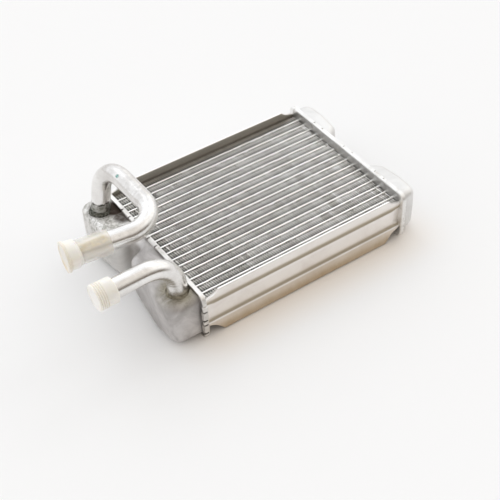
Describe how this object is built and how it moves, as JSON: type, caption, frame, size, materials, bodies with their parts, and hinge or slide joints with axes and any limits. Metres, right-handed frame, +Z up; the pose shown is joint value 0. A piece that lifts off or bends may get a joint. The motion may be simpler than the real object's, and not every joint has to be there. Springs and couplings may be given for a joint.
{
  "type": "heater core",
  "caption": "Flat-tube heater core with folded fins, crimped end tanks, pressed side plates and bent inlet and outlet pipes with transit caps.",
  "frame": {"origin": "middle of the tube block in plan, on the plane the header rims rest on", "axes": "+X along the tubes from the pipe tank to the return tank, +Y across the stack of tubes, +Z up through the core with the pipes leaving upward"},
  "size_m": [0.331, 0.181, 0.1071],
  "materials": {
    "tube_metal": "bright rolled strip, satin",
    "fin_metal": "thin folded strip, dull in the depth",
    "header_metal": "pressed sheet, satin",
    "plate_metal": "pressed sheet, satin with roll lines",
    "tank_metal": "pressed and heat-treated, matt grey patches",
    "pipe_metal": "drawn tube, semi-bright",
    "weld_metal": "braze bead, flame-darkened",
    "cap_plastic": "soft milky plastic, slightly see-through"
  },
  "bodies": {
    "root": {"tube_01": "tube_metal", "tube_02": "tube_metal", "tube_03": "tube_metal", "tube_04": "tube_metal", "tube_05": "tube_metal", "tube_06": "tube_metal", "tube_07": "tube_metal", "tube_08": "tube_metal", "tube_09": "tube_metal", "tube_10": "tube_metal", "tube_11": "tube_metal", "tube_12": "tube_metal", "tube_13": "tube_metal", "tube_14": "tube_metal", "tube_15": "tube_metal", "tube_16": "tube_metal", "fin_01": "fin_metal", "fin_02": "fin_metal", "fin_03": "fin_metal", "fin_04": "fin_metal", "fin_05": "fin_metal", "fin_06": "fin_metal", "fin_07": "fin_metal", "fin_08": "fin_metal", "fin_09": "fin_metal", "fin_10": "fin_metal", "fin_11": "fin_metal", "fin_12": "fin_metal", "fin_13": "fin_metal", "fin_14": "fin_metal", "fin_15": "fin_metal", "fin_16": "fin_metal", "fin_17": "fin_metal", "header_pipe_end": "header_metal", "header_return_end": "header_metal", "side_plate_near": "plate_metal", "side_plate_far": "plate_metal", "tank_pipe_end": "tank_metal", "tank_return_end": "tank_metal", "tank_baffle": "tank_metal", "pipe_near": "pipe_metal", "pipe_far": "pipe_metal", "weld_near": "weld_metal", "weld_far": "weld_metal", "cap_near": "cap_plastic", "cap_far": "cap_plastic"}
  },
  "joints": []
}
